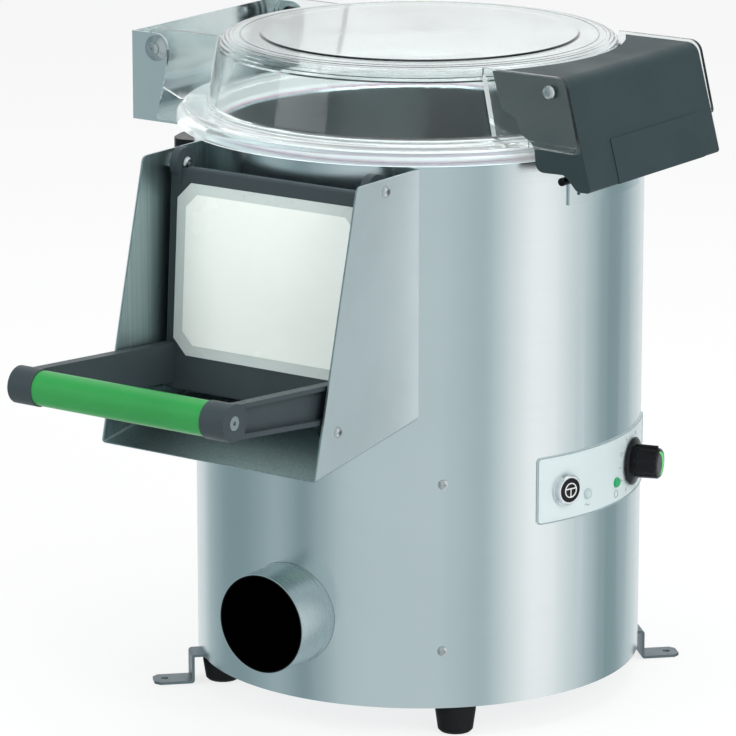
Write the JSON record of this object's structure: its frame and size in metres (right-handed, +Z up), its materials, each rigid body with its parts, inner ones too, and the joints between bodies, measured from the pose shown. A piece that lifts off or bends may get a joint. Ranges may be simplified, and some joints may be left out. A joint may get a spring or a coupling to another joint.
{
  "type": "electric potato peeler",
  "caption": "Potato peeling machine: round stainless casing on rubber feet, clear hinged lid with a latch cover, folded discharge chute with a handled door, drain pipe and side controls.",
  "frame": {"origin": "on the casing's axis at floor level, the centre of the two floor fixing holes", "axes": "+Z up along the casing's axis; -Y towards the discharge chute, the door and the drain outlet; +X towards the controls and the lid latch; the lid hinge is on -X"},
  "size_m": [0.4875, 0.6629, 0.589],
  "materials": {
    "stainless": "brushed stainless sheet, fine vertical grain",
    "stainless_bright": "bright stainless",
    "zinc_steel": "zinc-plated steel sheet",
    "screw_steel": "turned stainless",
    "shaft_steel": "ground shaft steel",
    "rubber_black": "matt black rubber",
    "rubber_grey": "grey sealing rubber",
    "rubber_rose": "soft rose sealing rubber",
    "clear_lid": "clear moulded plastic, polished",
    "anthracite": "anthracite moulded plastic, slightly grained",
    "black_plastic": "black moulded plastic",
    "grey_plastic": "grey moulded plastic",
    "white_plastic": "white moulded plastic",
    "green_grip": "green grip plastic",
    "green_insert": "green insert",
    "green_lens": "green lamp lens",
    "white_lens": "white lamp lens",
    "label_white": "white label plate",
    "panel_grey": "satin light-grey panel",
    "aluminium": "machined aluminium",
    "cast_grey": "painted cast housing",
    "motor_paint": "grey-blue motor paint",
    "abrasive": "coarse abrasive coating",
    "disc_cast": "cast disc with a coarse abrasive top",
    "brass": "machined brass",
    "hose_clear": "milky hose"
  },
  "bodies": {
    "machine": {"outer_casing": "stainless", "base_plate": "zinc_steel", "support_posts": "zinc_steel", "casing_screws": "screw_steel", "rubber_feet": "rubber_black", "foot_bolts": "screw_steel", "floor_brackets": "zinc_steel", "peeling_drum": "stainless", "abrasive_liner": "abrasive", "discharge_frame": "stainless_bright", "discharge_chute": "stainless", "chute_screws": "screw_steel", "hinge_standoffs": "screw_steel", "door_stops": "rubber_black", "drain_pipe": "stainless_bright", "drain_elbow": "stainless", "drum_pan": "stainless", "hinge_bracket": "stainless_bright", "hinge_screws": "screw_steel", "latch_keeper": "stainless_bright", "interlock_box": "black_plastic", "control_panel": "panel_grey", "button_bezel": "aluminium", "switch_block": "grey_plastic", "power_lamp": "white_lens", "run_lamp": "green_lens", "timer_body": "grey_plastic", "drive_plate": "zinc_steel", "bearing_housing": "cast_grey", "ball_bearings": "shaft_steel", "shaft_seal": "rubber_black", "motor_housing": "motor_paint", "motor_fan_cover": "black_plastic", "v_belt": "rubber_black", "water_inlet": "brass", "water_valve": "white_plastic", "water_hose": "hose_clear", "spray_nozzle": "grey_plastic", "cable_gland": "black_plastic", "relay_box": "grey_plastic"},
    "door": {"door_panel": "anthracite", "door_label": "label_white", "door_gasket": "rubber_grey", "grip_sleeve": "green_grip", "grip_screws": "screw_steel"},
    "lid": {"lid_cover": "clear_lid", "lid_seal": "rubber_rose", "hinge_bushes": "black_plastic", "latch_screws": "screw_steel"},
    "latch": {"latch_cover": "anthracite", "latch_hooks": "stainless_bright"},
    "disc": {"peeling_disc": "disc_cast", "disc_nut": "screw_steel", "drive_shaft": "shaft_steel", "driven_pulley": "cast_grey"},
    "rotor": {"motor_shaft": "shaft_steel", "drive_pulley": "cast_grey"},
    "knob": {"timer_knob": "black_plastic", "knob_insert": "green_insert"},
    "button": {"pulse_button": "black_plastic"}
  },
  "joints": [
    {"name": "lid_hinge", "type": "hinge", "parent": "machine", "child": "lid", "pos_m": [-0.213, 0, 0.5665], "axis": [0, -1, 0], "range_deg": [0, 95]},
    {"name": "latch_hinge", "type": "hinge", "parent": "lid", "child": "latch", "pos_m": [0.2076, 0, 0.574], "axis": [0, -1, 0], "range_deg": [0, 20]},
    {"name": "door_hinge", "type": "hinge", "parent": "machine", "child": "door", "pos_m": [0, -0.215, 0.4955], "axis": [-1, 0, 0], "range_deg": [0, 75]},
    {"name": "disc_spin", "type": "hinge", "parent": "machine", "child": "disc", "pos_m": [0, 0, 0.3], "axis": [0, 0, 1], "continuous": true},
    {"name": "motor_spin", "type": "hinge", "parent": "machine", "child": "rotor", "pos_m": [0, 0.105, 0.1], "axis": [0, 0, 1], "continuous": true},
    {"name": "timer_turn", "type": "hinge", "parent": "machine", "child": "knob", "pos_m": [0.19882, 0.04994, 0.2153], "axis": [-0.9699, -0.2436, 0], "range_deg": [0, 300]},
    {"name": "pulse_press", "type": "slide", "parent": "machine", "child": "button", "axis": [-0.9613, 0.2756, 0], "range_m": [0, 0.0028], "stiffness_N_per_m": 600, "springref_m": -0.003}
  ],
  "couplings": [
    {"joint": "motor_spin", "follows": "disc_spin", "ratio": 3.641}
  ]
}
